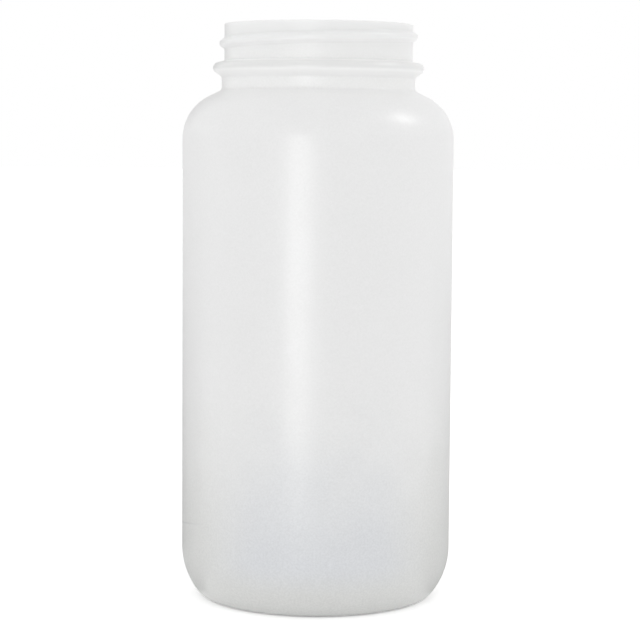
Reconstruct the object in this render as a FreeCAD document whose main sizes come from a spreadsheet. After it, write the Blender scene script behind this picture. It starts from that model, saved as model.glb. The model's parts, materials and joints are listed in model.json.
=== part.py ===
"""Wide-mouth reagent bottle of about half a litre, with its screw cap set down behind it.

The origin is the centre of the bottle's standing ring, +Z is up, and -Y is the front.
The cap lies open side up on the surface that the bottle stands on, with its liner inside.
"""

import FreeCAD
import Part
import Sketcher
import math
import os

# Driving dimensions: alias, value in millimetres (degrees and counts where the note says so), note.
DIMENSIONS = [
    ("bottle_height", 152.4, "standing ring to rim"),
    ("body_diameter", 72.0, "outside of the body"),
    ("wall", 1.3, "wall of the body, heel and base"),
    ("stand_diameter", 58.6, "outer edge of the flat standing ring"),
    ("dome_diameter", 52.0, "push-up of the base"),
    ("dome_height", 3.2, "push-up of the base"),
    ("heel_height", 13.0, "where the heel runs into the body wall"),
    ("heel_radius", 3.2, "tighter lower arc of the heel"),
    ("shoulder_radius", 12.5, "arc between body wall and shoulder cone"),
    ("shoulder_angle", 26.5, "slope of the shoulder cone, degrees below level"),
    ("shoulder_depth", 17.4, "rim to the foot of the neck"),
    ("shoulder_blend", 0.8, "rounding where neck and shoulder meet"),
    ("neck_diameter", 51.3, "plain neck under the bead"),
    ("finish_diameter", 49.9, "threaded neck, at the root of the thread"),
    ("mouth_diameter", 45.8, "bore of the neck"),
    ("rim_radius", 0.35, "rounding of the rim's two edges"),
    ("bead_diameter", 55.9, "bead that stops the cap"),
    ("bead_top", 9.75, "rim to the top of the bead"),
    ("bead_nose", 11.6, "rim to the widest part of the bead"),
    ("bead_foot", 14.0, "rim to the foot of the bead"),
    ("bead_nose_radius", 1.45, "rounding of the bead's nose"),
    ("bead_blend", 0.6, "hollow rounding above and below the bead"),
    ("thread_pitch", 4.233, "six turns to the inch"),
    ("thread_diameter", 52.5, "over the bottle's thread"),
    ("thread_width", 3.8, "foot of a thread ridge, inside the wall"),
    ("thread_crest", 0.7, "flat on top of a thread ridge"),
    ("thread_depth", 3.1, "rim to the bottle's thread on the +X side"),
    ("thread_start", 55.0, "lower end of the bottle's thread, degrees from +X"),
    ("thread_turn", 380.0, "sweep of the bottle's thread, degrees"),
    ("thread_fade", 26.0, "run-out at each end of a thread, degrees"),
    ("cap_place", 74.0, "bottle axis to cap axis, towards the back"),
    ("cap_diameter", 55.8, "skirt of the cap without its ribs"),
    ("cap_height", 12.5, "cap from top face to open edge"),
    ("cap_top", 1.7, "thickness of the cap's top"),
    ("cap_bore", 53.4, "inside of the skirt, at the root of its thread"),
    ("cap_thread_bore", 50.9, "inside the ridge of the cap's thread"),
    ("cap_thread_depth", 6.1, "open edge to the inner end of the cap's thread"),
    ("cap_thread_turn", 335.0, "sweep of the cap's thread, degrees"),
    ("cap_edge", 1.2, "rounding round the cap's top face"),
    ("rib_count", 60, "grip ribs round the skirt"),
    ("rib_radius", 0.62, "section of a grip rib"),
    ("rib_length", 9.4, "length of a grip rib"),
    ("rib_clear", 1.7, "cap's top face to the ribs"),
    ("liner_diameter", 52.8, "sealing disc in the cap"),
    ("liner_thickness", 1.5, "sealing disc in the cap"),
]

THREAD_STEP = 10.0  # degrees between the sections that shape a thread
THREAD_BURY = 0.45  # how far a thread's foot reaches into the wall that carries it
CREST_CROWN = 0.12  # how far the middle of a thread's crest stands above its edges
ABOVE = 2.0  # how far a cutting outline runs past the rim
NOSE_TOP = 77  # first guess for where the bead's nose begins, degrees from level
NOSE_FOOT = -54  # first guess for where the bead's nose ends, degrees from level

document = FreeCAD.newDocument("reagent_bottle")


class Size:
    """A length worked out from the sheet: its value now, and the expression that keeps it so."""

    def __init__(self, value, text):
        self.value = value
        self.text = text

    def __add__(self, other):
        return Size(self.value + other.value, f"({self.text} + {other.text})")

    def __sub__(self, other):
        return Size(self.value - other.value, f"({self.text} - {other.text})")

    def half(self):
        return Size(self.value / 2, f"({self.text} / 2)")


def make_sheet():
    """The spreadsheet of driving dimensions."""
    sheet = document.addObject("Spreadsheet::Sheet", "dims")
    for row, (alias, value, note) in enumerate(DIMENSIONS, start=1):
        sheet.set(f"A{row}", note)
        sheet.set(f"B{row}", str(value))
        sheet.setAlias(f"B{row}", alias)
    document.recompute()
    return sheet


sheet = make_sheet()
ZERO = Size(0.0, "0")


def cell(alias):
    return Size(float(sheet.get(alias)), f"dims.{alias}")


def number(alias):
    return float(sheet.get(alias))


class Outline:
    """A closed sketch outline on a body's XZ plane: x is the radius and y the height."""

    ORIGIN = (-1, 1)
    VERTICAL_AXIS = -2

    def __init__(self, body, name):
        plane = next(f for f in body.Origin.OriginFeatures if f.Role == "XZ_Plane")
        self.sketch = body.newObject("Sketcher::SketchObject", name)
        self.sketch.AttachmentSupport = [(plane, "")]
        self.sketch.MapMode = "FlatFace"
        self.last = None
        self.first = None

    def _add(self, geometry):
        index = self.sketch.addGeometry(geometry, False)
        if self.first is None:
            self.first = index
        self.last = index
        return index

    def _bind(self, constraint, size):
        index = self.sketch.addConstraint(constraint)
        self.sketch.setExpression(f"Constraints[{index}]", size.text)

    def pin(self, edge, end, x=None, y=None):
        """Fixes a corner's radius, height or both. A zero puts it on the axis or on the ground line."""
        for axis, size, rule in ((-2, x, "DistanceX"), (-1, y, "DistanceY")):
            if size is None:
                continue
            if size.text == "0":
                self.sketch.addConstraint(Sketcher.Constraint("PointOnObject", edge, end, axis))
            else:
                pinned = Sketcher.Constraint(rule, *self.ORIGIN, edge, end, size.value)
                self._bind(pinned, size)

    def line(self, start, end):
        return self._add(Part.LineSegment(FreeCAD.Vector(*start, 0), FreeCAD.Vector(*end, 0)))

    def arc(self, centre, radius, from_angle, to_angle):
        """An arc drawn anticlockwise between two angles in degrees."""
        circle = Part.Circle(FreeCAD.Vector(*centre, 0), FreeCAD.Vector(0, 0, 1), radius)
        return self._add(Part.ArcOfCircle(circle, math.radians(from_angle), math.radians(to_angle)))

    def radius(self, edge, size):
        self._bind(Sketcher.Constraint("Radius", edge, size.value), size)

    def join(self, edge, end, other, start, smooth=False):
        rule = "Tangent" if smooth else "Coincident"
        self.sketch.addConstraint(Sketcher.Constraint(rule, edge, end, other, start))

    def upright(self, edge):
        self.sketch.addConstraint(Sketcher.Constraint("Vertical", edge))

    def slope(self, edge, degrees_below_level):
        angle = math.radians(degrees_below_level.value)
        index = self.sketch.addConstraint(Sketcher.Constraint("Angle", edge, -angle))
        self.sketch.setExpression(f"Constraints[{index}]", f"-{degrees_below_level.text} * 1 deg")


def values(sizes):
    return [size.value for size in sizes]


def polygon(outline, corners):
    """A closed run of straight lines through corners, each a pair of sizes."""
    edges = []
    for index, (x, y) in enumerate(corners):
        next_x, next_y = corners[(index + 1) % len(corners)]
        edge = outline.line((x.value, y.value), (next_x.value, next_y.value))
        outline.pin(edge, 1, x, y)
        edges.append(edge)
    for index, edge in enumerate(edges):
        outline.join(edge, 2, edges[(index + 1) % len(edges)], 1)
    return edges


def shell_outline(body, name, inset, neck):
    """The bottle's half section, moved inwards by inset, from the base up to the corners in neck.

    neck holds pairs of sizes that climb from the foot of the neck to a corner above the axis's top end.
    """
    outline = Outline(body, name)
    body_radius = cell("body_diameter").half() - inset
    stand_radius = cell("stand_diameter").half()
    dome_radius = cell("dome_diameter").half()
    dome_top = cell("dome_height") + inset
    heel_low = cell("heel_radius") - inset
    shoulder = cell("shoulder_radius") - inset
    slope = cell("shoulder_angle")
    neck_foot = neck[0]

    # first guesses for the arcs, which the tangencies then settle
    dome_guess = (dome_radius.value**2 + number("dome_height") ** 2) / (2 * number("dome_height"))
    dome_turn = math.degrees(math.asin(dome_radius.value / dome_guess))
    heel_run = body_radius.value - stand_radius.value
    heel_rise = number("heel_height") - inset.value
    heel_high = heel_run**2 + heel_rise**2 - 2 * heel_rise * heel_low.value
    heel_high = heel_high / (2 * (heel_run - heel_low.value))
    heel_turn = math.degrees(math.asin((heel_rise - heel_low.value) / (heel_high - heel_low.value)))
    slope_turn = math.radians(slope.value)
    arc_top = body_radius.value - shoulder.value * (1 - math.sin(slope_turn))
    arc_drop = (arc_top - neck_foot[0].value) * math.tan(slope_turn)
    shoulder_base = neck_foot[1].value - arc_drop - shoulder.value * math.cos(slope_turn)

    dome = outline.arc((0, dome_top.value - dome_guess), dome_guess, 90 - dome_turn, 90)
    outline.sketch.addConstraint(Sketcher.Constraint("PointOnObject", dome, 3, Outline.VERTICAL_AXIS))
    outline.pin(dome, 2, ZERO, dome_top)
    ring = outline.line((dome_radius.value, inset.value), (stand_radius.value, inset.value))
    outline.pin(ring, 1, dome_radius, inset)
    outline.pin(ring, 2, stand_radius, inset)
    outline.join(dome, 1, ring, 1)

    low_centre = (stand_radius.value, inset.value + heel_low.value)
    low = outline.arc(low_centre, heel_low.value, 270, 360 - heel_turn)
    outline.radius(low, heel_low)
    outline.join(ring, 2, low, 1, smooth=True)
    high_centre = (body_radius.value - heel_high, number("heel_height"))
    high = outline.arc(high_centre, heel_high, 360 - heel_turn, 360)
    outline.join(low, 2, high, 1, smooth=True)

    wall = outline.line((body_radius.value, number("heel_height")), (body_radius.value, shoulder_base))
    outline.pin(wall, 1, body_radius, cell("heel_height"))
    outline.upright(wall)
    outline.join(high, 2, wall, 1, smooth=True)

    bend_centre = (body_radius.value - shoulder.value, shoulder_base)
    bend = outline.arc(bend_centre, shoulder.value, 0, 90 - slope.value)
    outline.radius(bend, shoulder)
    outline.join(wall, 2, bend, 1, smooth=True)
    cone_start = (neck_foot[0].value, neck_foot[1].value)
    cone = outline.line(cone_start, (arc_top, neck_foot[1].value - arc_drop))
    outline.slope(cone, slope)
    outline.pin(cone, 1, *neck_foot)
    outline.join(bend, 2, cone, 2, smooth=True)

    below, below_end = cone, 1
    for here, above in zip(neck, neck[1:]):
        edge = outline.line(values(here), values(above))
        outline.join(below, below_end, edge, 1)
        outline.pin(edge, 2, *above)
        below, below_end = edge, 2
    axis = outline.line((0, neck[-1][1].value), (0, dome_top.value))
    outline.join(below, below_end, axis, 1)
    outline.join(axis, 2, dome, 2)
    return outline.sketch


def revolve(body, kind, name, sketch):
    """A full turn of a sketch about its vertical axis, added to the body or cut from it."""
    feature = body.newObject(kind, name)
    feature.Profile = sketch
    feature.ReferenceAxis = (sketch, ["V_Axis"])
    feature.Angle = 360
    document.recompute()
    return feature


def thread_ridge(name, foot_radius, crest_radius, first_angle, sweep, first_height):
    """A thread ridge that climbs one pitch a turn and sinks into its wall at both ends."""
    pitch = number("thread_pitch")
    fade = number("thread_fade")
    outward = 1.0 if crest_radius > foot_radius else -1.0
    buried = foot_radius - outward * THREAD_BURY
    tall = abs(crest_radius - foot_radius) - CREST_CROWN
    count = round(sweep / THREAD_STEP)
    sections = []
    for index in range(count + 1):
        turned = sweep * index / count
        angle = math.radians(first_angle + turned)
        middle = first_height + pitch * turned / 360
        run = min(1.0, turned / fade, (sweep - turned) / fade)
        share = run * run * (3 - 2 * run)
        crest = foot_radius + outward * (tall * share - 0.1 * THREAD_BURY * (1 - share))
        half_foot = number("thread_width") / 2
        half_crest = number("thread_crest") / 2

        def place(radius, height):
            return FreeCAD.Vector(radius * math.cos(angle), radius * math.sin(angle), height)

        corners = [
            place(buried, middle - half_foot),
            place(crest, middle - half_crest),
            place(crest, middle + half_crest),
            place(buried, middle + half_foot),
        ]
        crown = place(crest + outward * CREST_CROWN, middle)
        edges = [
            Part.LineSegment(corners[0], corners[1]).toShape(),
            Part.Arc(corners[1], crown, corners[2]).toShape(),
            Part.LineSegment(corners[2], corners[3]).toShape(),
            Part.LineSegment(corners[3], corners[0]).toShape(),
        ]
        sections.append(Part.Wire(edges))
    ridge = document.addObject("Part::Feature", name)
    ridge.Shape = Part.makeLoft(sections, True, False)
    return ridge


def fuse(name, base, tool):
    """Two solids moulded as one piece."""
    piece = document.addObject("Part::Fuse", name)
    piece.Base = base
    piece.Tool = tool
    piece.Refine = False
    document.recompute()
    return piece


def make_bottle():
    """The blow-moulded bottle: shell, bead and thread in one solid."""
    body = document.addObject("PartDesign::Body", "bottle_shell")
    height = cell("bottle_height")
    neck_radius = cell("neck_diameter").half()
    finish_radius = cell("finish_diameter").half()
    mouth_radius = cell("mouth_diameter").half()
    shoulder_foot = height - cell("shoulder_depth")
    bead_level = height - cell("bead_nose")

    outside = [
        (neck_radius, shoulder_foot),
        (neck_radius, bead_level),
        (finish_radius, bead_level),
        (finish_radius, height),
        (ZERO, height),
    ]
    revolve(body, "PartDesign::Revolution", "outside", shell_outline(body, "outside_outline", ZERO, outside))

    past_rim = height + Size(ABOVE, str(ABOVE))
    inside = [(mouth_radius, shoulder_foot), (mouth_radius, past_rim), (ZERO, past_rim)]
    revolve(body, "PartDesign::Groove", "inside", shell_outline(body, "inside_outline", cell("wall"), inside))

    make_bead(body, height, neck_radius, finish_radius)
    round_edges(body, "rim_rounding", height.value, "rim_radius")
    round_edges(body, "bead_top_blend", height.value - number("bead_top"), "bead_blend")
    round_edges(body, "bead_foot_blend", height.value - number("bead_foot"), "bead_blend")
    round_edges(body, "shoulder_blend", shoulder_foot.value, "shoulder_blend")

    start = number("thread_start")
    climb = number("thread_pitch") * (360 - start) / 360
    ridge = thread_ridge(
        "bottle_thread",
        number("finish_diameter") / 2,
        number("thread_diameter") / 2,
        start,
        number("thread_turn"),
        height.value - number("thread_depth") - climb,
    )
    return fuse("bottle", body, ridge)


def make_bead(body, height, neck_radius, finish_radius):
    """The bead under the thread: a round nose between two sloping sides."""
    outline = Outline(body, "bead_outline")
    bury = Size(THREAD_BURY, str(THREAD_BURY))
    nose = cell("bead_nose_radius")
    nose_centre = (cell("bead_diameter").half() - nose, height - cell("bead_nose"))
    top = (finish_radius, height - cell("bead_top"))
    foot = (neck_radius, height - cell("bead_foot"))
    inner_foot = (finish_radius - bury, foot[1])
    inner_top = (finish_radius - bury, top[1])

    def nose_point(degrees):
        turn = math.radians(degrees)
        x = nose_centre[0].value + nose.value * math.cos(turn)
        return (x, nose_centre[1].value + nose.value * math.sin(turn))

    upper = outline.line(values(top), nose_point(NOSE_TOP))
    outline.pin(upper, 1, *top)
    tip = outline.arc(values(nose_centre), nose.value, NOSE_FOOT, NOSE_TOP)
    outline.pin(tip, 3, *nose_centre)
    outline.radius(tip, nose)
    outline.join(upper, 2, tip, 2, smooth=True)
    lower = outline.line(nose_point(NOSE_FOOT), values(foot))
    outline.pin(lower, 2, *foot)
    outline.join(tip, 1, lower, 1, smooth=True)

    before = lower
    for here, there in ((foot, inner_foot), (inner_foot, inner_top), (inner_top, top)):
        edge = outline.line(values(here), values(there))
        outline.join(before, 2, edge, 1)
        if there is not top:
            outline.pin(edge, 2, *there)
        before = edge
    outline.join(before, 2, upper, 1)
    return revolve(body, "PartDesign::Revolution", "bead", outline.sketch)


def circles_at(shape, height):
    """Names of a shape's round edges that lie level at a height."""
    names = []
    for index, edge in enumerate(shape.Edges, start=1):
        box = edge.BoundBox
        if abs(box.ZMin - height) < 1e-4 and abs(box.ZMax - height) < 1e-4:
            names.append(f"Edge{index}")
    return names


def round_edges(body, name, height, radius_alias):
    """Rounds a body's level round edges at a height."""
    base = body.Tip
    feature = body.newObject("PartDesign::Fillet", name)
    feature.Base = (base, circles_at(base.Shape, height))
    feature.setExpression("Radius", f"dims.{radius_alias}")
    document.recompute()
    return feature


def make_cap():
    """The screw cap, open side up: a ribbed skirt round a disc, with a thread inside."""
    body = document.addObject("PartDesign::Body", "cap_shell")
    skirt_radius = cell("cap_diameter").half()
    bore_radius = cell("cap_bore").half()
    height = cell("cap_height")
    top = cell("cap_top")

    outline = Outline(body, "cap_outline")
    corners = [
        (ZERO, ZERO),
        (skirt_radius, ZERO),
        (skirt_radius, height),
        (bore_radius, height),
        (bore_radius, top),
        (ZERO, top),
    ]
    polygon(outline, corners)
    revolve(body, "PartDesign::Revolution", "cup", outline.sketch)

    round_edges(body, "cap_edge_rounding", 0, "cap_edge")
    make_ribs(body)

    first_height = height.value - number("cap_thread_depth")
    ridge = thread_ridge(
        "cap_thread",
        number("cap_bore") / 2,
        number("cap_thread_bore") / 2,
        0.0,
        number("cap_thread_turn"),
        first_height,
    )
    cap = fuse("screw_cap", body, ridge)
    cap.setExpression("Placement.Base.y", "dims.cap_place")
    return cap


def make_ribs(body):
    """One grip rib on the skirt, repeated all the way round."""
    plane = next(f for f in body.Origin.OriginFeatures if f.Role == "XY_Plane")
    sketch = body.newObject("Sketcher::SketchObject", "rib_section")
    sketch.AttachmentSupport = [(plane, "")]
    sketch.MapMode = "FlatFace"
    sketch.setExpression("AttachmentOffset.Base.z", "dims.rib_clear")
    middle = FreeCAD.Vector(number("cap_diameter") / 2, 0, 0)
    circle = sketch.addGeometry(Part.Circle(middle, FreeCAD.Vector(0, 0, 1), number("rib_radius")), False)
    sketch.addConstraint(Sketcher.Constraint("PointOnObject", circle, 3, -1))
    across = sketch.addConstraint(Sketcher.Constraint("DistanceX", -1, 1, circle, 3, middle.x))
    sketch.setExpression(f"Constraints[{across}]", "dims.cap_diameter / 2")
    wide = sketch.addConstraint(Sketcher.Constraint("Radius", circle, number("rib_radius")))
    sketch.setExpression(f"Constraints[{wide}]", "dims.rib_radius")
    document.recompute()

    rib = body.newObject("PartDesign::Pad", "rib")
    rib.Profile = sketch
    rib.setExpression("Length", "dims.rib_length")
    document.recompute()
    ring = body.newObject("PartDesign::PolarPattern", "ribs")
    ring.Originals = [rib]
    ring.Axis = (sketch, ["N_Axis"])
    ring.Angle = 360
    ring.setExpression("Occurrences", "dims.rib_count")
    body.Tip = ring
    document.recompute()
    return ring


def make_liner():
    """The sealing disc that lies in the cap."""
    body = document.addObject("PartDesign::Body", "cap_liner")
    outline = Outline(body, "liner_outline")
    radius = cell("liner_diameter").half()
    thickness = cell("liner_thickness")
    polygon(outline, [(ZERO, ZERO), (radius, ZERO), (radius, thickness), (ZERO, thickness)])
    revolve(body, "PartDesign::Revolution", "disc", outline.sketch)
    body.setExpression("Placement.Base.y", "dims.cap_place")
    body.setExpression("Placement.Base.z", "dims.cap_top")
    return body


def check(pieces):
    """Stops unless every object recomputed and every piece is one valid solid."""
    for item in document.Objects:
        if "Invalid" in item.State or "Error" in item.State:
            raise RuntimeError(f"{item.Name} failed: {item.State}")
    for piece in pieces:
        shape = piece.Shape
        if shape.isNull() or not shape.isValid() or len(shape.Solids) != 1:
            raise RuntimeError(f"{piece.Label} is not one valid solid")


def main():
    pieces = [make_bottle(), make_cap(), make_liner()]
    document.recompute()
    check(pieces)
    os.makedirs("parts", exist_ok=True)
    for piece in pieces:
        shape = piece.Shape
        shape.exportStep(f"parts/{piece.Label}.step")
        print(f"{piece.Label}: {shape.Volume / 1000:.2f} cm3, top at {shape.BoundBox.ZMax:.2f} mm")


main()
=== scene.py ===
"""Dresses a wide-mouth reagent bottle of milky plastic, with its screw cap and liner set down behind it.

Lengths in the classes below are in millimetres, and are turned into metres where a mesh or a node is made.
A span is a pair of numbers that says where a gradual change starts and where it ends.
"""

import json
import logging
import math
from dataclasses import dataclass, field
from enum import Enum
from functools import cached_property
from typing import Callable, Iterable, Optional, Union

import bmesh
import bpy
from bmesh.types import BMesh, BMVert
from bpy.types import Material, Node, NodeSocket, Object
from mathutils import Euler, Matrix, Vector


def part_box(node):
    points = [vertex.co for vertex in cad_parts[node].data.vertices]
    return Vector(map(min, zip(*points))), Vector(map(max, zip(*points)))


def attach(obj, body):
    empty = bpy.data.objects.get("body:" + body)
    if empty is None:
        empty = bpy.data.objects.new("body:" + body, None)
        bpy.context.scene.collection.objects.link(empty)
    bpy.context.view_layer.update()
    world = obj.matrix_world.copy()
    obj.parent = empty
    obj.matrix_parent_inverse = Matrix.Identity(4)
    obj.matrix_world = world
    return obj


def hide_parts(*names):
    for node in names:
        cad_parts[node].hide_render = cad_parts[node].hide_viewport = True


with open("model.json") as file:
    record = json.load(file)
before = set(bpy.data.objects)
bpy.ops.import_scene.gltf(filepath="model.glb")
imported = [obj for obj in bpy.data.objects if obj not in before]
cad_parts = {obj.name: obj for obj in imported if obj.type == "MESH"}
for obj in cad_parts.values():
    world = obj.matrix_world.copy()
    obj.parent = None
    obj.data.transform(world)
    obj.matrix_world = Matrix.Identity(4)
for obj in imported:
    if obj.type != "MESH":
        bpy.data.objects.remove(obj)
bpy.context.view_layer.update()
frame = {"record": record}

LOG = logging.getLogger("reagent_bottle")
MM = 0.001
PHOTO_PIXELS = 640

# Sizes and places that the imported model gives
BOTTLE_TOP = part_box("bottle")[1][2] / MM
CAP_LOW, CAP_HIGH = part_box("screw_cap")
CAP_PLACE = (CAP_LOW[1] + CAP_HIGH[1]) / 2.0 / MM
LINER_LOW, LINER_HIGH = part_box("cap_liner")
MOUTH = next(mount for mount in frame["record"]["mounts"] if mount["name"] == "mouth")
MOUTH_RADIUS = MOUTH["dims"]["r_mm"]

# Grip ribs round the cap
RIB_COUNT = 60

# A point this near a wall counts as lying on it
ON_WALL = 0.02

# How often the spun part of a turned shell is doubled, and how near points are merged, in metres
DOUBLINGS = 3
MERGE_DISTANCE = 1e-7

# Most values of a noise lie in this span, round its middle
NOISE_SPAN = (0.3, 0.7)
NOISE_MIDDLE = 0.5

# Places of the two colours among a Mix node's inputs, and of their mixture among its outputs
MIX_COLOURS = (6, 7)
MIX_RESULT = 2

Point = tuple[float, float]
Place = tuple[float, float, float]
Span = tuple[float, float]
Colour = tuple[float, float, float]
Value = Union[NodeSocket, float]
Paint = Union[NodeSocket, Colour]


class Body(Enum):
    """The rigid bodies that pieces ride on."""

    BOTTLE = "bottle"
    CAP = "cap"


class Slot(Enum):
    """The record's material slots."""

    BOTTLE = "natural_hdpe"
    CAP = "white_pp"
    LINER = "liner_foam"


class Mixing(Enum):
    """How one colour acts on another, as a Mix node names it."""

    BLEND = "MIX"
    TINT = "MULTIPLY"


def smooth_step(value: float) -> float:
    """Eases a value from 0 to 1, flat at both ends and outside them."""
    held = min(1.0, max(0.0, value))
    return held * held * (3.0 - 2.0 * held)


def points_of(items: Iterable) -> list[BMVert]:
    """The points among the parts of a mesh that an operator returns."""
    return [item for item in items if isinstance(item, BMVert)]


class ProfilePen:
    """Draws a half section as a chain of edges, radius along X and height along Z."""

    def __init__(self, mesh: BMesh, start: Point) -> None:
        """Puts the pen down.

        Args:
            mesh: The bmesh to draw in.
            start: Radius and height of the first point.
        """
        self.mesh = mesh
        self.tip = mesh.verts.new((start[0] * MM, 0.0, start[1] * MM))
        self.corners: list[tuple[BMVert, float]] = []

    def mark(self, rounding: float) -> None:
        """Marks the pen's place as a corner that is rounded off this far from it."""
        self.corners.append((self.tip, rounding))

    def line(self, end: Point, steps: int = 1, rounding: float = 0.0) -> None:
        """Draws a straight run.

        Args:
            end: Radius and height where the run ends.
            steps: Number of edges the run is cut into.
            rounding: How far from its end the corner there is rounded off, or 0 for none.
        """
        start = self.tip.co.copy()
        finish = Vector((end[0] * MM, 0.0, end[1] * MM))
        for step in range(1, steps + 1):
            grown = bmesh.ops.extrude_vert_indiv(self.mesh, verts=[self.tip])
            self.tip = grown["verts"][0]
            self.tip.co = start.lerp(finish, step / steps)
        if rounding:
            self.mark(rounding)

    def arc(self, centre: Point, turn: float, steps: int) -> None:
        """Draws an arc from the pen's place.

        Args:
            centre: Radius and height of the arc's centre.
            turn: Angle in degrees, anticlockwise as seen from the front.
            steps: Number of edges in the arc.
        """
        spun = bmesh.ops.spin(
            self.mesh,
            geom=[self.tip],
            cent=(centre[0] * MM, 0.0, centre[1] * MM),
            axis=(0.0, -1.0, 0.0),
            angle=math.radians(turn),
            steps=steps,
        )
        self.tip = points_of(spun["geom_last"])[0]

    def round_corners(self, segments: int) -> None:
        """Rounds the corners that were marked while drawing.

        Args:
            segments: Number of edges in each rounded corner.
        """
        for corner, rounding in self.corners:
            bmesh.ops.bevel(
                self.mesh,
                geom=[corner],
                offset=rounding * MM,
                offset_type="OFFSET",
                segments=segments,
                profile=0.5,
                affect="VERTICES",
                material=-1,
            )
        self.corners.clear()


def turn_profile(mesh: BMesh, steps: int) -> None:
    """Turns a half section once round the Z axis into a closed shell.

    An eighth of the turn is spun, and then doubled three times, which is quicker than one long spin.

    Args:
        mesh: A bmesh that holds the chain of edges alone.
        steps: Number of columns round the axis, a multiple of 8.
    """
    parts = 2**DOUBLINGS
    turned = math.tau / parts
    bmesh.ops.spin(
        mesh,
        geom=[*mesh.verts, *mesh.edges],
        cent=(0.0, 0.0, 0.0),
        axis=(0.0, 0.0, 1.0),
        angle=turned,
        steps=steps // parts,
    )
    for _ in range(DOUBLINGS):
        copied = bmesh.ops.duplicate(mesh, geom=[*mesh.verts, *mesh.edges, *mesh.faces])
        rotation = Matrix.Rotation(turned, 3, "Z")
        bmesh.ops.rotate(mesh, verts=points_of(copied["geom"]), cent=(0.0, 0.0, 0.0), matrix=rotation)
        turned *= 2.0
    bmesh.ops.remove_doubles(mesh, verts=mesh.verts[:], dist=MERGE_DISTANCE)
    bmesh.ops.recalc_face_normals(mesh, faces=mesh.faces[:])


def push_out(mesh: BMesh, amount: Callable[[float, float, float], float]) -> None:
    """Moves points away from the Z axis.

    Args:
        mesh: A bmesh turned about the Z axis.
        amount: Gives the move in millimetres for a radius, an angle in degrees and a height.
    """
    for vertex in mesh.verts:
        radius = math.hypot(vertex.co.x, vertex.co.y)
        if radius < MM:
            continue
        angle = math.degrees(math.atan2(vertex.co.y, vertex.co.x))
        grown = 1.0 + amount(radius / MM, angle, vertex.co.z / MM) * MM / radius
        vertex.co.x *= grown
        vertex.co.y *= grown


def finish_piece(mesh: BMesh, name: str, material: Material) -> Object:
    """Makes a smooth-shaded object of a finished bmesh and frees it.

    Args:
        mesh: The finished bmesh, in the row frame.
        name: Name of the object.
        material: The finish of the whole piece.

    Returns:
        The object, linked to the scene.
    """
    for face in mesh.faces:
        face.smooth = True
    data = bpy.data.meshes.new(name)
    mesh.to_mesh(data)
    mesh.free()
    data.materials.append(material)
    piece = bpy.data.objects.new(name, data)
    bpy.context.scene.collection.objects.link(piece)
    LOG.info("%s: %d faces", name, len(data.polygons))
    return piece


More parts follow.
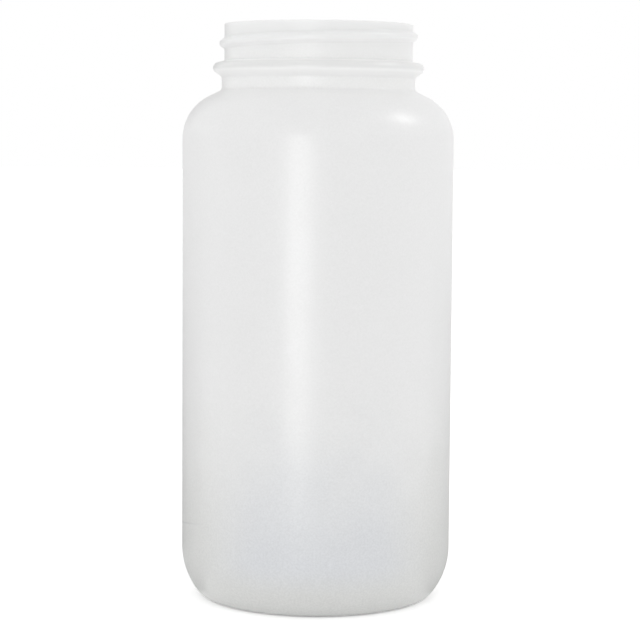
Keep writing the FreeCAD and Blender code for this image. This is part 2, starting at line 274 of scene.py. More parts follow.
class NodeTray:
    """Lays out and wires the nodes of one material or world."""

    def __init__(self, tree: bpy.types.NodeTree) -> None:
        """Empties a node tree.

        Args:
            tree: The tree to fill.
        """
        self.tree = tree
        tree.nodes.clear()

    @cached_property
    def place(self) -> NodeSocket:
        """Object coordinates of a point of the surface, in metres."""
        return self.add("ShaderNodeTexCoord").outputs["Object"]

    @cached_property
    def axes(self) -> dict[str, NodeSocket]:
        """Object coordinates under the names of their axes, X, Y and Z."""
        apart = self.add("ShaderNodeSeparateXYZ", {0: self.place})
        return {axis: apart.outputs[axis] for axis in "XYZ"}

    def put(self, socket: NodeSocket, value: object) -> None:
        """Links a socket to another, or sets it to a constant.

        Args:
            socket: The input to fill.
            value: The socket that feeds it, or a constant.
        """
        if isinstance(value, NodeSocket):
            self.tree.links.new(value, socket)
        else:
            socket.default_value = value

    def add(self, kind: str, inputs: Optional[dict] = None, **options: object) -> Node:
        """Adds a node.

        Args:
            kind: The node's type.
            inputs: Input names or places, each with a constant or a socket to link.
            **options: Attributes to set on the node.

        Returns:
            The new node.
        """
        node = self.tree.nodes.new(kind)
        for name, value in options.items():
            setattr(node, name, value)
        for place, value in (inputs or {}).items():
            self.put(node.inputs[place], value)
        return node

    def math(self, operation: str, *values: Value) -> NodeSocket:
        """The outcome of a Math node on one, two or three values."""
        return self.add("ShaderNodeMath", dict(enumerate(values)), operation=operation).outputs[0]

    def ease(self, value: Value, span: Span, to_low: float = 0.0, to_high: float = 1.0) -> NodeSocket:
        """A smooth-stepped change of a value from one range to another.

        Args:
            value: The value to change.
            span: Where the change starts and ends.
            to_low: Outcome at the start.
            to_high: Outcome at the end.

        Returns:
            The changed value.
        """
        low, high = span
        inputs = {"Value": value, "From Min": low, "From Max": high, "To Min": to_low, "To Max": to_high}
        return self.add("ShaderNodeMapRange", inputs, interpolation_type="SMOOTHSTEP").outputs["Result"]

    def ease_mm(self, length: Value, span: Span, to_low: float = 0.0, to_high: float = 1.0) -> NodeSocket:
        """The same change of a length in metres, over a span in millimetres."""
        return self.ease(length, (span[0] * MM, span[1] * MM), to_low, to_high)

    def noise(self, size: float, detail: float = 2.0, place: Optional[NodeSocket] = None) -> NodeSocket:
        """Noise from 0 to 1 with features of about the given size.

        Args:
            size: Size of a feature in millimetres.
            detail: Number of finer layers.
            place: Coordinates in metres, or none for Object coordinates.

        Returns:
            The noise value.
        """
        where = self.place if place is None else place
        inputs = {"Vector": where, "Scale": 1.0 / (size * MM), "Detail": detail, "Roughness": 0.55}
        return self.add("ShaderNodeTexNoise", inputs).outputs["Fac"]

    def blend(
        self, share: Value, first: Paint, second: Paint, mixing: Mixing = Mixing.BLEND
    ) -> NodeSocket:
        """A colour mixed from two.

        Args:
            share: How much of the second colour is mixed in, from 0 to 1.
            first: A colour, or a socket that gives one.
            second: A colour, or a socket that gives one.
            mixing: How the second colour acts on the first.

        Returns:
            The mixed colour.
        """
        node = self.add("ShaderNodeMix", data_type="RGBA", blend_type=mixing.value)
        self.put(node.inputs[0], share)
        for place, paint in zip(MIX_COLOURS, (first, second)):
            self.put(node.inputs[place], (*paint, 1.0) if isinstance(paint, tuple) else paint)
        return node.outputs[MIX_RESULT]

    def distance(self, across: NodeSocket, along: NodeSocket) -> NodeSocket:
        """How far a point lies from an upright axis, from its distances in X and in Y."""
        flat = self.add("ShaderNodeCombineXYZ", {0: across, 1: along}).outputs["Vector"]
        return self.add("ShaderNodeVectorMath", {0: flat}, operation="LENGTH").outputs["Value"]

    def dress(self, shader: Node, height: NodeSocket) -> None:
        """Gives a shader its relief and makes it the surface of the material.

        Args:
            shader: The Principled shader.
            height: Height of the relief in metres.
        """
        relief = self.add("ShaderNodeBump", {"Strength": 1.0, "Distance": 1.0, "Height": height})
        self.put(shader.inputs["Normal"], relief.outputs["Normal"])
        self.add("ShaderNodeOutputMaterial", {"Surface": shader.outputs["BSDF"]})


def new_material(name: str) -> tuple[Material, NodeTray]:
    """Starts a material.

    Args:
        name: Name of the material.

    Returns:
        The material and the tray for its nodes.
    """
    material = bpy.data.materials.new(name)
    material.use_nodes = True
    return material, NodeTray(material.node_tree)


@dataclass(frozen=True)
class MilkyPlastic:
    """Unpigmented blow-moulded polyethylene: milky, satin, with mould lines and a fine grain. Its colour
    also holds painted shade and painted light on the neck and its ridges, and painted shade and a painted
    reflection on the foot.

    The spans are heights, except for those across (in X), out (from the axis), facing (upwards) and of the
    weld (from its middle).
    """

    # Light in the wall
    refraction: float = 1.54
    scatter_depth: float = 2.0
    neck_scatter_depth: float = 3.4
    depth_change: Span = (138.0, 142.0)
    speck_milkiness: float = 0.85
    junction: float = 135.4
    junction_reach: float = 5.0
    junction_milkiness: float = 0.72

    # Body
    colour: Colour = (0.987, 0.989, 0.982)
    cloud_colour: Colour = (0.877, 0.88, 0.872)
    cloud_size: float = 34.0
    cloud_share: float = 0.2
    speckle_size: float = 0.5
    speckle_share: float = 0.8

    # Neck, darkened towards its top by painted shade and with painted shade on its +X side, and the ridges
    # on it, with painted shade on their upper sides and painted light on their undersides
    neck_painted_shade_colour: Colour = (0.855, 0.859, 0.855)
    neck_painted_shade_change: Span = (139.0, 152.0)
    neck_side_painted_shade_colour: Colour = (0.755, 0.759, 0.755)
    neck_side_painted_shade_share: float = 0.18
    neck_side_painted_shade_across: Span = (-12.0, 20.0)
    neck_side_painted_shade_change: Span = (133.0, 137.0)
    ridge_painted_shade_colour: Colour = (0.77, 0.773, 0.767)
    ridge_out: Span = (25.6, 27.6)
    ridge_change: Span = (137.2, 138.2)
    ridge_painted_shade_facing: Span = (-0.75, 0.1)
    underside_painted_light_colour: Colour = (0.95, 0.953, 0.948)
    underside_painted_light_facing: Span = (-0.75, -0.15)

    # Foot and heel, darker towards the bottom, partly the thicker wall's own tone and partly painted shade,
    # with a cool painted reflection in front and behind, mottled at random
    foot_painted_shade_and_reflection_colour: Colour = (0.750, 0.765, 0.790)
    foot_change: Span = (8.0, 66.0)
    foot_wander: float = 18.0
    wander_size: float = 16.0
    painted_reflection_across: Span = (14.0, 31.0)
    heel_tone_and_painted_shade_colour: Colour = (0.760, 0.765, 0.751)
    heel_change: Span = (5.0, 15.0)
    mottle_light: Colour = (1.12, 1.12, 1.12)
    mottle_dark: Colour = (0.88, 0.88, 0.88)

    # Gloss and grain
    roughness: float = 0.33
    roughness_swing: float = 0.02
    gloss_patch_size: float = 9.0
    grain_size: float = 0.55
    grain_height: float = 0.008
    drawn_size: float = 3.5
    drawn_squeeze: float = 0.02
    drawn_height: float = 0.012

    # Lines of the mould
    seam_width: float = 0.28
    seam_height: float = 0.05
    weld_flank: Span = (0.27, 0.9)
    weld_end: Span = (18.0, 21.0)
    weld_height: float = 0.35
    insert_level: float = 19.0
    insert_slope: float = 0.15
    insert_width: float = 0.42
    insert_across: Span = (-35.5, -28.0)
    insert_height: float = 0.03
    insert_colour: Colour = (0.69, 0.695, 0.69)

    def build(self) -> Material:
        """Makes the material.

        Returns:
            A material that reads Object coordinates.
        """
        material, tray = new_material("milky_plastic")
        shader = tray.add("ShaderNodeBsdfPrincipled")
        shader.inputs["IOR"].default_value = self.refraction
        shader.inputs["Subsurface Radius"].default_value = (1.0, 1.0, 1.0)
        depths = (self.scatter_depth * MM, self.neck_scatter_depth * MM)
        scatter = tray.ease_mm(tray.axes["Z"], self.depth_change, *depths)
        tray.put(shader.inputs["Subsurface Weight"], self._milkiness(tray))
        tray.put(shader.inputs["Subsurface Scale"], scatter)
        tray.put(shader.inputs["Base Color"], self._colour(tray))
        tray.put(shader.inputs["Roughness"], self._roughness(tray))
        tray.dress(shader, self._relief(tray))
        return material

    def _milkiness(self, tray: NodeTray) -> NodeSocket:
        """Finds how much light enters the wall: less in fine specks, and where it thickens into the neck.

        Args:
            tray: The material's nodes.

        Returns:
            The share of light, from 0 to 1.
        """
        specks = tray.ease(tray.noise(self.speckle_size, detail=1.0), NOISE_SPAN, self.speck_milkiness, 1.0)
        off = tray.math("ABSOLUTE", tray.math("SUBTRACT", tray.axes["Z"], self.junction * MM))
        thicker = tray.ease_mm(off, (0.0, self.junction_reach), self.junction_milkiness, 1.0)
        return tray.math("MULTIPLY", specks, thicker)

    def _colour(self, tray: NodeTray) -> NodeSocket:
        """Mixes the colours of the bottle's upper part, its foot and the base insert's line.

        Args:
            tray: The material's nodes.

        Returns:
            The base colour.
        """
        speckle = tray.math("MULTIPLY", tray.noise(self.speckle_size, detail=1.0), self.speckle_share)
        broad = tray.noise(self.cloud_size, detail=3.0)
        clouds = tray.math("MULTIPLY_ADD", broad, self.cloud_share, speckle)
        # The foot's darker colour, partly the wall's tone and partly painted shade, starts at a wandering
        # height
        wander = tray.math("SUBTRACT", tray.noise(self.wander_size, detail=1.0), NOISE_MIDDLE)
        level = tray.math("ADD", tray.axes["Z"], tray.math("MULTIPLY", wander, self.foot_wander * MM))
        above_foot = tray.ease_mm(level, self.foot_change)
        whole = tray.blend(above_foot, self._foot_colour(tray, clouds), self._upper_colour(tray, clouds))
        off_line = tray.math("SUBTRACT", 1.0, self._insert_line(tray))
        return tray.blend(off_line, self.insert_colour, whole)

    def _upper_colour(self, tray: NodeTray, clouds: NodeSocket) -> NodeSocket:
        """Mixes the colour of the body, with clouds of thinner and thicker wall, and of the neck, with
        painted shade towards the neck's top and on its +X side, painted shade on the ridges' upper sides
        and painted light on their undersides.

        Args:
            tray: The material's nodes.
            clouds: How cloudy the wall is, from 0 to 1.

        Returns:
            The colour away from the foot.
        """
        body = tray.blend(clouds, self.colour, self.cloud_colour)
        # Painted shade: the neck's colour darkens towards its top
        below_neck = tray.ease_mm(tray.axes["Z"], self.neck_painted_shade_change, 1.0, 0.0)
        neck = tray.blend(below_neck, self.neck_painted_shade_colour, body)
        # Painted shade on the neck's +X side
        side = tray.ease_mm(tray.axes["X"], self.neck_side_painted_shade_across, 0.0, self.neck_side_painted_shade_share)
        on_neck = tray.ease_mm(tray.axes["Z"], self.neck_side_painted_shade_change)
        shaded = tray.blend(tray.math("MULTIPLY", side, on_neck), neck, self.neck_side_painted_shade_colour)
        # Painted shade on the ridges' upper sides and painted light on the neck's undersides
        painted_shade_tops, undersides = self._ridge_painted_shade_and_light(tray)
        with_painted_ridge_shade = tray.blend(painted_shade_tops, shaded, self.ridge_painted_shade_colour)
        return tray.blend(undersides, with_painted_ridge_shade, self.underside_painted_light_colour)

    def _foot_colour(self, tray: NodeTray, clouds: NodeSocket) -> NodeSocket:
        """Mixes the greyer colour of the heel and sides, partly the thicker wall's own tone and partly
        painted shade, with a cool painted reflection above the heel in front and behind, and mottles both
        at random.

        Args:
            tray: The material's nodes.
            clouds: How cloudy the wall is, from 0 to 1.

        Returns:
            The colour of the foot.
        """
        # A cool painted reflection in front and behind, and greyer painted shade at the sides
        off_axis = tray.math("ABSOLUTE", tray.axes["X"])
        patch = tray.blend(tray.ease_mm(off_axis, self.painted_reflection_across), self.foot_painted_shade_and_reflection_colour, self.heel_tone_and_painted_shade_colour)
        above_heel = tray.ease_mm(tray.axes["Z"], self.heel_change)
        plain = tray.blend(above_heel, self.heel_tone_and_painted_shade_colour, patch)
        mottle = tray.blend(clouds, self.mottle_light, self.mottle_dark)
        return tray.blend(1.0, plain, mottle, Mixing.TINT)

    def _ridge_painted_shade_and_light(self, tray: NodeTray) -> tuple[NodeSocket, NodeSocket]:
        """Finds the upper sides of the bead and the thread, which get painted shade, and the neck's
        undersides, which get painted light.

        Args:
            tray: The material's nodes.

        Returns:
            1 on their upper sides and 0 elsewhere, and 1 on their undersides and 0 elsewhere.
        """
        raised = tray.ease_mm(tray.distance(tray.axes["X"], tray.axes["Y"]), self.ridge_out)
        on_neck = tray.ease_mm(tray.axes["Z"], self.ridge_change)
        facing = tray.add("ShaderNodeTexCoord").outputs["Normal"]
        upward = tray.add("ShaderNodeSeparateXYZ", {0: facing}).outputs["Z"]
        # Painted shade where the surface faces up, painted light where it faces down
        upper_side = tray.math("MULTIPLY", on_neck, tray.ease(upward, self.ridge_painted_shade_facing))
        underside = tray.math("MULTIPLY", on_neck, tray.ease(upward, self.underside_painted_light_facing, 1.0, 0.0))
        return tray.math("MULTIPLY", raised, upper_side), underside

    def _insert_line(self, tray: NodeTray) -> NodeSocket:
        """Finds the short witness line of the mould's base insert, on the -X side.

        Args:
            tray: The material's nodes.

        Returns:
            1 on the line and 0 away from it.
        """
        level = tray.math("SUBTRACT", tray.axes["Z"], self.insert_level * MM)
        tilt = tray.math("MULTIPLY", tray.axes["Y"], self.insert_slope)
        off_line = tray.math("ABSOLUTE", tray.math("ADD", level, tilt))
        on_line = tray.ease_mm(off_line, (0.0, self.insert_width), 1.0, 0.0)
        one_side = tray.ease_mm(tray.axes["X"], self.insert_across, 1.0, 0.0)
        return tray.math("MULTIPLY", on_line, one_side)

    def _roughness(self, tray: NodeTray) -> NodeSocket:
        """A satin surface that is a little glossier in patches."""
        glossy, dull = self.roughness - self.roughness_swing, self.roughness + self.roughness_swing
        return tray.ease(tray.noise(self.gloss_patch_size), NOISE_SPAN, glossy, dull)

    def _relief(self, tray: NodeTray) -> NodeSocket:
        """Adds up the grain, the drawn lines, the mould seam, the base weld and the insert line.

        Args:
            tray: The material's nodes.

        Returns:
            Height of the relief in metres.
        """
        grain = tray.math("MULTIPLY", tray.noise(self.grain_size), self.grain_height * MM)
        squeeze = {"Vector": tray.place, "Scale": (1.0, 1.0, self.drawn_squeeze)}
        squeezed = tray.add("ShaderNodeMapping", squeeze).outputs["Vector"]
        drawn = tray.math("MULTIPLY", tray.noise(self.drawn_size, place=squeezed), self.drawn_height * MM)
        off_plane = tray.math("ABSOLUTE", tray.axes["Y"])
        seam = tray.ease_mm(off_plane, (0.0, self.seam_width), self.seam_height * MM, 0.0)
        ridge = tray.ease_mm(off_plane, self.weld_flank, self.weld_height * MM, 0.0)
        in_reach = tray.ease_mm(tray.math("ABSOLUTE", tray.axes["X"]), self.weld_end, 1.0, 0.0)
        weld = tray.math("MULTIPLY", ridge, in_reach)
        insert = tray.math("MULTIPLY", self._insert_line(tray), self.insert_height * MM)
        total = tray.math("ADD", grain, drawn)
        for line in (seam, weld, insert):
            total = tray.math("ADD", total, line)
        return total


@dataclass(frozen=True)
class CapPlastic:
    """White injection-moulded polypropylene with a fine satin skin, and painted shade between its grip
    ribs.

    The span of the grooves is in shares of the ribs' pitch, from the middle of a rib.
    """

    colour: Colour = (0.83, 0.83, 0.815)
    worn_colour: Colour = (0.80, 0.80, 0.785)
    groove_painted_shade_colour: Colour = (0.68, 0.68, 0.665)
    milkiness: float = 0.15
    scatter_depth: float = 0.4
    roughness: float = 0.40
    worn_roughness: float = 0.52
    scuff_size: float = 5.0
    scuff_span: Span = (0.45, 0.75)
    grain_size: float = 0.4
    grain_height: float = 0.006
    groove_painted_shade_span: Span = (0.27, 0.46)
    skirt_out: Span = (27.3, 27.5)
    skirt_low: Span = (1.6, 2.6)
    skirt_high: Span = (10.2, 11.2)

    def build(self) -> Material:
        """Makes the material.

        Returns:
            A material that reads Object coordinates.
        """
        material, tray = new_material("cap_plastic")
        shader = tray.add("ShaderNodeBsdfPrincipled")
        shader.inputs["Subsurface Weight"].default_value = self.milkiness
        shader.inputs["Subsurface Radius"].default_value = (1.0, 1.0, 1.0)
        shader.inputs["Subsurface Scale"].default_value = self.scatter_depth * MM
        scuffs = tray.ease(tray.noise(self.scuff_size, detail=4.0), self.scuff_span)
        plain = tray.blend(scuffs, self.colour, self.worn_colour)
        # Painted shade between the grip ribs
        ribs = tray.math("SUBTRACT", 1.0, self._groove_painted_shade(tray))
        tray.put(shader.inputs["Base Color"], tray.blend(ribs, self.groove_painted_shade_colour, plain))
        dullness = tray.ease(scuffs, (0.0, 1.0), self.roughness, self.worn_roughness)
        tray.put(shader.inputs["Roughness"], dullness)
        tray.dress(shader, tray.math("MULTIPLY", tray.noise(self.grain_size), self.grain_height * MM))
        return material

    def _groove_painted_shade(self, tray: NodeTray) -> NodeSocket:
        """Finds where painted shade darkens the skirt between two grip ribs.

        Args:
            tray: The material's nodes.

        Returns:
            1 in the middle of a groove and 0 on a rib and inside the cap.
        """
        across = tray.axes["X"]
        along = tray.math("SUBTRACT", tray.axes["Y"], CAP_PLACE * MM)
        turned = tray.math("MULTIPLY", tray.math("ARCTAN2", along, across), RIB_COUNT / math.tau)
        half_pitch = 0.5
        groove = tray.ease(tray.math("PINGPONG", turned, half_pitch), self.groove_painted_shade_span)
        outside = tray.ease_mm(tray.distance(across, along), self.skirt_out)
        below_lip = tray.ease_mm(tray.axes["Z"], self.skirt_high, 1.0, 0.0)
        above_edge = tray.ease_mm(tray.axes["Z"], self.skirt_low)
        skirt = tray.math("MULTIPLY", outside, tray.math("MULTIPLY", below_lip, above_edge))
        return tray.math("MULTIPLY", groove, skirt)


@dataclass(frozen=True)
class LinerFoam:
    """Soft closed-cell foam with a matt skin that shows its cells."""

    colour: Colour = (0.80, 0.80, 0.78)
    cell_colour: Colour = (0.71, 0.71, 0.69)
    roughness: float = 0.8
    shine: float = 0.25
    cell_size: float = 0.45
    cell_span: Span = (0.2, 0.7)
    cell_height: float = 0.03

    def build(self) -> Material:
        """Makes the material.

        Returns:
            A material that reads Object coordinates.
        """
        material, tray = new_material("liner_foam")
        scale = 1.0 / (self.cell_size * MM)
        cells = tray.add("ShaderNodeTexVoronoi", {"Vector": tray.place, "Scale": scale})
        depth = cells.outputs["Distance"]
        shader = tray.add("ShaderNodeBsdfPrincipled")
        shader.inputs["Roughness"].default_value = self.roughness
        shader.inputs["Specular IOR Level"].default_value = self.shine
        edges = tray.ease(depth, self.cell_span)
        tray.put(shader.inputs["Base Color"], tray.blend(edges, self.colour, self.cell_colour))
        tray.dress(shader, tray.math("MULTIPLY", depth, -self.cell_height * MM))
        return material


@dataclass
class Thread:
    """One right-hand thread ridge that fades out at both ends, with its angles in degrees."""

    height: float
    start_angle: float
    sweep: float
    start_level: float
    pitch: float = 4.233
    half_foot: float = 1.62
    half_crest: float = 0.3
    fade: float = 26.0

    def rise(self, angle: float, level: float) -> float:
        """How far the ridge stands out of its wall.

        Args:
            angle: Degrees round the axis from +X.
            level: Height in millimetres.

        Returns:
            The ridge's height in millimetres, 0 away from it.
        """
        best = 0.0
        turned = (angle - self.start_angle) % 360.0
        while turned <= self.sweep:
            middle = self.start_level + self.pitch * turned / 360.0
            off = abs(level - middle)
            flank = smooth_step((self.half_foot - off) / (self.half_foot - self.half_crest))
            ends = smooth_step(min(turned, self.sweep - turned) / self.fade)
            best = max(best, self.height * flank * ends)
            turned += 360.0
        return best


@dataclass
class Bottle:
    """The blow-moulded bottle: a turned shell with a bead and a thread on its neck.

    The finish is the threaded end of the neck. The shoulder's depth and the bead's top, nose and foot are
    measured down from the rim.
    """

    height: float = BOTTLE_TOP
    body_radius: float = 36.0
    wall: float = 1.3
    stand_radius: float = 29.3
    dome_radius: float = 26.0
    dome_height: float = 3.2
    dome_rounding: float = 0.6
    heel_height: float = 13.0
    heel_low_radius: float = 3.2
    shoulder_radius: float = 12.5
    shoulder_slope: float = 26.5
    shoulder_depth: float = 17.4
    neck_radius: float = 25.65
    neck_rounding: float = 0.6
    finish_radius: float = 24.95
    mouth_radius: float = MOUTH_RADIUS
    rim_rounding: float = 0.35
    bead_radius: float = 27.95
    bead_top: float = 9.75
    bead_nose: float = 11.6
    bead_foot: float = 14.0
    bead_rounding: float = 0.45
    nose_radius: float = 1.45
    columns: int = 288
    thread: Thread = field(
        default_factory=lambda: Thread(height=1.3, start_angle=55.0, sweep=380.0, start_level=145.714)
    )

    def build(self, finish: MilkyPlastic) -> Object:
        """Builds the bottle and puts it in the frame.

        Args:
            finish: The plastic it is made of.

        Returns:
            The finished piece.
        """
        mesh = bmesh.new()
        pen = ProfilePen(mesh, (0.0, self.dome_height))
        self._outside(pen)
        self._rim_and_inside(pen)
        pen.round_corners(segments=5)
        turn_profile(mesh, self.columns)
        push_out(mesh, self._neck_relief)
        piece = finish_piece(mesh, "milky_bottle", finish.build())
        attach(piece, Body.BOTTLE.value)
        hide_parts("bottle")
        return piece

    def _neck_relief(self, radius: float, angle: float, level: float) -> float:
        """How far the thread lifts a point of the outer neck, in millimetres."""
        on_finish = abs(radius - self.finish_radius) < ON_WALL and level > self.height - self.bead_top
        return self.thread.rise(angle, level) if on_finish else 0.0

    def _dome(self) -> tuple[float, float]:
        """Radius of the arc under the base, and the angle in degrees from its middle to its edge."""
        radius = (self.dome_radius**2 + self.dome_height**2) / (2.0 * self.dome_height)
        return radius, math.degrees(math.asin(self.dome_radius / radius))

    def _heel(self, inset: float) -> tuple[float, float]:
        """The heel's two arcs, moved inwards.

        Args:
            inset: Distance from the outer face.

        Returns:
            Radius of the upper arc and the angle in degrees that it turns.
        """
        run = self.body_radius - inset - self.stand_radius
        rise = self.heel_height - inset
        low = self.heel_low_radius - inset
        high = (run * run + rise * rise - 2.0 * rise * low) / (2.0 * (run - low))
        return high, math.degrees(math.asin((rise - low) / (high - low)))

    def _shoulder(self, inset: float, neck: Point) -> tuple[Point, Point]:
        """The shoulder's arc, moved inwards.

        Args:
            inset: Distance from the outer face.
            neck: Where the shoulder cone meets the neck.

        Returns:
            The arc's centre, and the point where it runs into the cone.
        """
        slope = math.radians(self.shoulder_slope)
        radius = self.shoulder_radius - inset
        centre_x = self.body_radius - self.shoulder_radius
        top_x = centre_x + radius * math.sin(slope)
        top_z = neck[1] - (top_x - neck[0]) * math.tan(slope)
        return (centre_x, top_z - radius * math.cos(slope)), (top_x, top_z)

    def _outside(self, pen: ProfilePen) -> None:
        """Draws from the middle of the base, up the outside, to the rim.

        Args:
            pen: The pen, at the middle of the base.
        """
        dome, dome_turn = self._dome()
        pen.arc((0.0, self.dome_height - dome), -dome_turn, steps=14)
        pen.mark(self.dome_rounding)
        pen.line((self.stand_radius, 0.0), steps=2)
        high, high_turn = self._heel(0.0)
        pen.arc((self.stand_radius, self.heel_low_radius), 90.0 - high_turn, steps=14)
        pen.arc((self.body_radius - high, self.heel_height), high_turn, steps=18)
        neck_foot = (self.neck_radius, self.height - self.shoulder_depth)
        bend, _ = self._shoulder(0.0, neck_foot)
        pen.line((self.body_radius, bend[1]), steps=40)
        pen.arc(bend, 90.0 - self.shoulder_slope, steps=22)
        pen.line(neck_foot, rounding=self.neck_rounding)
        self._bead(pen)
        pen.line((self.finish_radius, self.height), steps=52, rounding=self.rim_rounding)

    def _bead(self, pen: ProfilePen) -> None:
        """Draws the plain neck and the bead above it.

        Args:
            pen: The pen, at the foot of the neck.
        """
        nose = (self.bead_radius - self.nose_radius, self.height - self.bead_nose)
        foot = (self.neck_radius, self.height - self.bead_foot)
        top = (self.finish_radius, self.height - self.bead_top)
        low_turn = self._tangent_angle(nose, foot, lower=True)
        high_turn = self._tangent_angle(nose, top, lower=False)
        pen.line(foot, rounding=self.bead_rounding)
        pen.line(self._on_nose(nose, low_turn))
        pen.arc(nose, high_turn - low_turn, steps=14)
        pen.line(top, rounding=self.bead_rounding)

    def _on_nose(self, nose: Point, degrees: float) -> Point:
        """A point of the bead's round nose."""
        turn = math.radians(degrees)
        return nose[0] + self.nose_radius * math.cos(turn), nose[1] + self.nose_radius * math.sin(turn)

    def _tangent_angle(self, nose: Point, corner: Point, lower: bool) -> float:
        """Where a straight side of the bead touches its nose.

        Args:
            nose: Centre of the nose.
            corner: Where the side starts on the neck.
            lower: Whether the side is the one below the nose.

        Returns:
            The angle in degrees from level.
        """
        across, up = corner[0] - nose[0], corner[1] - nose[1]
        towards = math.degrees(math.atan2(up, across))
        spread = math.degrees(math.acos(self.nose_radius / math.hypot(across, up)))
        return (towards + spread + 180.0) % 360.0 - 180.0 if lower else towards - spread

    def _rim_and_inside(self, pen: ProfilePen) -> None:
        """Draws over the rim and down the inside to the middle of the base.

        Args:
            pen: The pen, at the outer edge of the rim.
        """
        pen.line((self.mouth_radius, self.height), rounding=self.rim_rounding)
        neck_foot = (self.mouth_radius, self.height - self.shoulder_depth)
        pen.line(neck_foot, steps=4, rounding=self.neck_rounding)
        bend, cone_end = self._shoulder(self.wall, neck_foot)
        pen.line(cone_end)
        pen.arc(bend, self.shoulder_slope - 90.0, steps=14)
        inner_radius = self.body_radius - self.wall
        pen.line((inner_radius, self.heel_height), steps=20)
        high, high_turn = self._heel(self.wall)
        pen.arc((inner_radius - high, self.heel_height), -high_turn, steps=12)
        pen.arc((self.stand_radius, self.heel_low_radius), high_turn - 90.0, steps=10)
        pen.line((self.dome_radius, self.wall))
        dome, dome_turn = self._dome()
        pen.arc((0.0, self.dome_height + self.wall - dome), dome_turn, steps=12)


@dataclass
class ScrewCap:
    """The ribbed cap, lying open side up behind the bottle, and the foam disc inside it.

    Its top wall lies on the bench, and heights are measured from there.
    """

    place: float = CAP_PLACE
    radius: float = 27.9
    height: float = CAP_HIGH[2] / MM
    top: float = LINER_LOW[2] / MM
    bore: float = 26.7
    edge_rounding: float = 1.2
    lip_rounding: float = 0.3
    bore_rounding: float = 0.25
    rib_height: float = 0.6
    rib_share: float = 0.62
    rib_low: float = 1.7
    rib_high: float = 11.1
    rib_fade: float = 0.8
    columns_per_rib: int = 10
    liner_radius: float = 26.4
    liner_top: float = LINER_HIGH[2] / MM
    liner_low_rounding: float = 0.2
    liner_high_rounding: float = 0.3
    liner_columns: int = 160
    imprint_inner: float = MOUTH_RADIUS
    imprint_outer: float = 25.0
    imprint_depth: float = 0.22
    imprint_flank: float = 0.3
    imprint_edge_rounding: float = 0.25
    imprint_floor_rounding: float = 0.2
    thread: Thread = field(
        default_factory=lambda: Thread(height=1.25, start_angle=0.0, sweep=335.0, start_level=6.4)
    )

    def build(self, finish: CapPlastic) -> Object:
        """Builds the cap and puts it in the frame.

        Args:
            finish: The plastic it is made of.

        Returns:
            The finished piece.
        """
        mesh = bmesh.new()
        pen = ProfilePen(mesh, (0.0, 0.0))
        pen.line((self.radius - self.edge_rounding, 0.0), steps=4)
        pen.arc((self.radius - self.edge_rounding, self.edge_rounding), 90.0, steps=8)
        pen.line((self.radius, self.height), steps=40, rounding=self.lip_rounding)
        pen.line((self.bore, self.height), rounding=self.lip_rounding)
        pen.line((self.bore, self.top), steps=52, rounding=self.bore_rounding)
        pen.line((0.0, self.top), steps=4)
        pen.round_corners(segments=4)
        turn_profile(mesh, RIB_COUNT * self.columns_per_rib)
        push_out(mesh, self._skirt_relief)
        self._set_down(mesh)
        piece = finish_piece(mesh, "ribbed_cap", finish.build())
        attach(piece, Body.CAP.value)
        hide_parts("screw_cap")
        return piece

    def build_liner(self, finish: LinerFoam) -> Object:
        """Builds the sealing disc, with the mark that the bottle's rim has pressed into it.

        Args:
            finish: The foam it is made of.

        Returns:
            The finished piece.
        """
        mesh = bmesh.new()
        low, high = self.top, self.liner_top
        pressed = high - self.imprint_depth
        pen = ProfilePen(mesh, (0.0, low))
        pen.line((self.liner_radius, low), steps=6, rounding=self.liner_low_rounding)
        pen.line((self.liner_radius, high), rounding=self.liner_high_rounding)
        pen.line((self.imprint_outer + self.imprint_flank, high), rounding=self.imprint_edge_rounding)
        pen.line((self.imprint_outer, pressed), rounding=self.imprint_floor_rounding)
        pen.line((self.imprint_inner, pressed), rounding=self.imprint_floor_rounding)
        pen.line((self.imprint_inner - self.imprint_flank, high), rounding=self.imprint_edge_rounding)
        pen.line((0.0, high), steps=8)
        pen.round_corners(segments=3)
        turn_profile(mesh, self.liner_columns)
        self._set_down(mesh)
        piece = finish_piece(mesh, "foam_liner", finish.build())
        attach(piece, Body.CAP.value)
        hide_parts("cap_liner")
        return piece

    def _set_down(self, mesh: BMesh) -> None:
        """Moves a piece from the bottle's axis to where the cap lies."""
        bmesh.ops.translate(mesh, verts=mesh.verts[:], vec=(0.0, self.place * MM, 0.0))

    def _skirt_relief(self, radius: float, angle: float, level: float) -> float:
        """How far a rib or the thread moves a point of the skirt.

        Args:
            radius: The point's distance from the axis.
            angle: Degrees round the axis from +X.
            level: The point's height.

        Returns:
            The move in millimetres, outwards for a rib and inwards for the thread.
        """
        if abs(radius - self.radius) < ON_WALL:
            return self._rib(angle, level)
        if abs(radius - self.bore) < ON_WALL and level > self.top:
            return -self.thread.rise(angle, level)
        return 0.0

    def _rib(self, angle: float, level: float) -> float:
        """How far a grip rib stands out of the skirt.

        Args:
            angle: Degrees round the axis from +X.
            level: Height in millimetres.

        Returns:
            The rib's height in millimetres, 0 between two ribs.
        """
        across = abs((angle * RIB_COUNT / 360.0 + 0.5) % 1.0 - 0.5) * 2.0 / self.rib_share
        round_top = math.sqrt(max(0.0, 1.0 - across * across))
        low_end = smooth_step((level - self.rib_low) / self.rib_fade)
        high_end = smooth_step((self.rib_high - level) / self.rib_fade)
        return self.rib_height * round_top * low_end * high_end


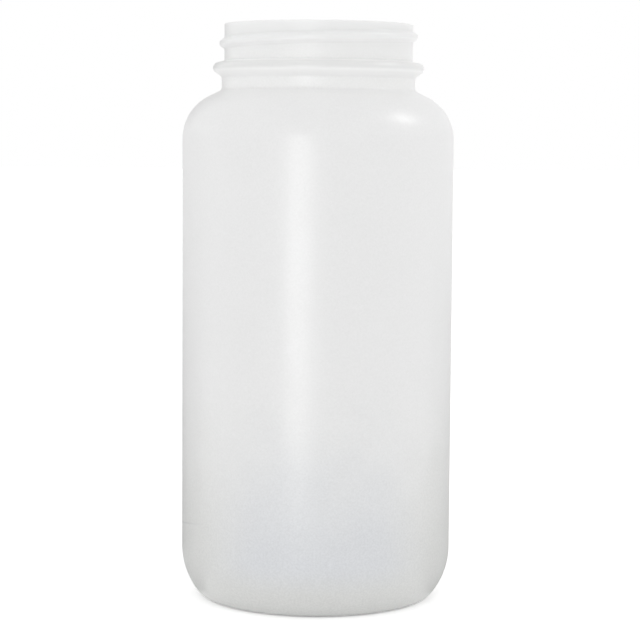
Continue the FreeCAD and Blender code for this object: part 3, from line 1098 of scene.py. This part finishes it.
@dataclass(frozen=True)
class PhotoCamera:
    """The camera that matches the photograph's view, with its angles in degrees."""

    distance: float = 553.2
    height: float = 124.6
    pitch: float = 5.24
    yaw: float = 0.0857
    roll: float = 0.40
    focal_pixels: float = 2072.0
    sensor: float = 36.0
    near: float = 10.0
    far: float = 50000.0

    def build(self) -> Object:
        """Makes the camera the scene's own.

        Returns:
            The camera object.
        """
        data = bpy.data.cameras.new("photo_camera")
        data.sensor_width = self.sensor
        data.lens = self.sensor * self.focal_pixels / PHOTO_PIXELS
        data.clip_start = self.near * MM
        data.clip_end = self.far * MM
        camera = bpy.data.objects.new("photo_camera", data)
        aim = Euler((math.radians(90.0 - self.pitch), 0.0, math.radians(-self.yaw))).to_matrix()
        spin = Matrix.Rotation(math.radians(self.roll), 3, "Z")
        camera.matrix_world = (aim @ spin).to_4x4()
        camera.location = (0.0, -self.distance * MM, self.height * MM)
        bpy.context.scene.collection.objects.link(camera)
        bpy.context.scene.camera = camera
        LOG.info("camera: %.1f mm lens", data.lens)
        return camera


@dataclass(frozen=True)
class SoftBox:
    """A flat lamp aimed at a point, which shows only as a reflection."""

    name: str
    place: Place
    target: Place
    width: float
    tall: float
    watts: float

    def build(self) -> Object:
        """Makes the lamp.

        Returns:
            The lamp object.
        """
        data = bpy.data.lights.new(self.name, "AREA")
        data.shape = "RECTANGLE"
        data.size = self.width * MM
        data.size_y = self.tall * MM
        data.energy = self.watts
        lamp = bpy.data.objects.new(self.name, data)
        lamp.location = Vector(self.place) * MM
        lamp.rotation_mode = "QUATERNION"
        lamp.rotation_quaternion = (Vector(self.target) - Vector(self.place)).to_track_quat("-Z", "Y")
        lamp.visible_camera = False
        lamp.visible_diffuse = False
        bpy.context.scene.collection.objects.link(lamp)
        return lamp


@dataclass(frozen=True)
class ShadeCard:
    """A glowing sheet, seen only in reflections, which paints the darker edge of a reflection.

    One edge runs level from start to end, at the height called foot, and reach leads from there to the edge
    opposite. The shade goes from the low level at the floor to the high level at the height called top.
    """

    name: str
    start: Point
    end: Point
    reach: Place = (0.0, 0.0, 135.0)
    low_level: float = 0.12
    high_level: float = 0.90
    top: float = 135.0
    foot: float = 0.2

    def build(self) -> Object:
        """Makes the card.

        Returns:
            The card, which shows only in reflections.
        """
        material, tray = new_material(self.name)
        # Painted reflection: the card's glow rises from its low level to its high level
        shade = tray.ease_mm(tray.axes["Z"], (0.0, self.top), self.low_level, self.high_level)
        glow = tray.add("ShaderNodeEmission", {"Strength": shade})
        tray.add("ShaderNodeOutputMaterial", {"Surface": glow.outputs["Emission"]})
        mesh = bmesh.new()
        foot = [mesh.verts.new((x * MM, y * MM, self.foot * MM)) for x, y in (self.start, self.end)]
        edge = mesh.edges.new(foot)
        grown = bmesh.ops.extrude_edge_only(mesh, edges=[edge])
        bmesh.ops.translate(mesh, verts=points_of(grown["geom"]), vec=Vector(self.reach) * MM)
        card = finish_piece(mesh, self.name, material)
        card.visible_camera = False
        card.visible_diffuse = False
        card.visible_transmission = False
        card.visible_shadow = False
        return card


@dataclass(frozen=True)
class Studio:
    """White seamless surroundings, brighter at the sides than overhead, with two lamps and glowing cards
    that paint darker reflections.
    """

    side_level: float = 1.08
    top_level: float = 0.84
    floor_colour: float = 0.93
    floor_lift: float = 0.34
    floor_reach: float = 6000.0
    floor_drop: float = 0.05
    lamps: tuple[SoftBox, ...] = (
        SoftBox(
            "strip_lamp",
            place=(-58.0, -229.0, 78.0),
            target=(-4.7, -36.0, 78.0),
            width=70.0,
            tall=152.0,
            watts=0.135,
        ),
        SoftBox(
            "high_lamp",
            place=(492.0, -4.0, 480.0),
            target=(21.0, -27.5, 127.7),
            width=120.0,
            tall=160.0,
            watts=0.55,
        ),
    )
    cards: tuple[ShadeCard, ...] = (
        ShadeCard("left_card", (-41.0, 68.0), (-110.0, 10.0), low_level=0.11, high_level=0.72),
        ShadeCard("right_card", (41.0, 68.0), (110.0, 10.0), low_level=0.34, high_level=0.95),
        ShadeCard("left_floor_card", (-160.0, -14.0), (-32.0, -14.0), (0.0, 180.0, 0.0), low_level=0.35),
        ShadeCard("right_floor_card", (160.0, -14.0), (32.0, -14.0), (0.0, 180.0, 0.0), low_level=0.35),
        ShadeCard(
            "shoulder_card",
            (-110.0, 90.0),
            (-18.0, 100.0),
            reach=(0.0, 0.0, 130.0),
            low_level=0.0,
            high_level=0.7,
            top=260.0,
            foot=130.0,
        ),
    )

    def build(self) -> None:
        """Makes the floor, the sky, the lamps and the cards."""
        self._sky()
        self._floor()
        for item in (*self.lamps, *self.cards):
            item.build()
        LOG.info("studio: %d lamps and %d cards", len(self.lamps), len(self.cards))

    def _seen(self, tray: NodeTray) -> NodeSocket:
        """Tells rays that show the background from rays that carry its light.

        Args:
            tray: The nodes of the floor or the sky.

        Returns:
            1 for a ray to the camera, in a gloss or through the plastic, and 0 for any other.
        """
        path = tray.add("ShaderNodeLightPath")
        seen = tray.math("MAXIMUM", path.outputs["Is Camera Ray"], path.outputs["Is Glossy Ray"])
        return tray.math("MAXIMUM", seen, path.outputs["Is Transmission Ray"])

    def _sky(self) -> None:
        """Even light from all round, white where it is seen."""
        world = bpy.data.worlds.new("studio_sky")
        world.use_nodes = True
        bpy.context.scene.world = world
        tray = NodeTray(world.node_tree)
        way = tray.add("ShaderNodeTexCoord").outputs["Generated"]
        up = tray.add("ShaderNodeSeparateXYZ", {0: way}).outputs["Z"]
        light = tray.ease(up, (0.0, 1.0), self.side_level, self.top_level)
        level = tray.add("ShaderNodeMix", {"Factor": self._seen(tray), "A": light, "B": 1.0})
        strength = level.outputs["Result"]
        sky = tray.add("ShaderNodeBackground", {"Color": (1.0, 1.0, 1.0, 1.0), "Strength": strength})
        tray.add("ShaderNodeOutputWorld", {"Surface": sky.outputs["Background"]})

    def _floor(self) -> None:
        """A wide pale floor that shows as white and keeps the shadow."""
        material, tray = new_material("studio_floor")
        colour = (self.floor_colour, self.floor_colour, self.floor_colour, 1.0)
        matt = tray.add("ShaderNodeBsdfDiffuse", {"Color": colour})
        lift = tray.math("MULTIPLY", self._seen(tray), self.floor_lift)
        glow = tray.add("ShaderNodeEmission", {"Strength": lift})
        both = tray.add("ShaderNodeAddShader", {0: matt.outputs["BSDF"], 1: glow.outputs["Emission"]})
        tray.add("ShaderNodeOutputMaterial", {"Surface": both.outputs["Shader"]})
        mesh = bmesh.new()
        bmesh.ops.create_grid(mesh, x_segments=1, y_segments=1, size=self.floor_reach * MM)
        bmesh.ops.translate(mesh, verts=mesh.verts[:], vec=(0.0, 0.0, -self.floor_drop * MM))
        finish_piece(mesh, "studio_floor", material)


def main() -> None:
    """Builds the camera, the surroundings and every piece in order."""
    logging.basicConfig(level=logging.INFO, format="%(name)s: %(message)s")
    bpy.context.scene.view_settings.view_transform = "Standard"
    PhotoCamera().build()
    Studio().build()
    Bottle().build(MilkyPlastic())
    cap = ScrewCap()
    cap.build(CapPlastic())
    cap.build_liner(LinerFoam())


if __name__ == "__main__":
    main()
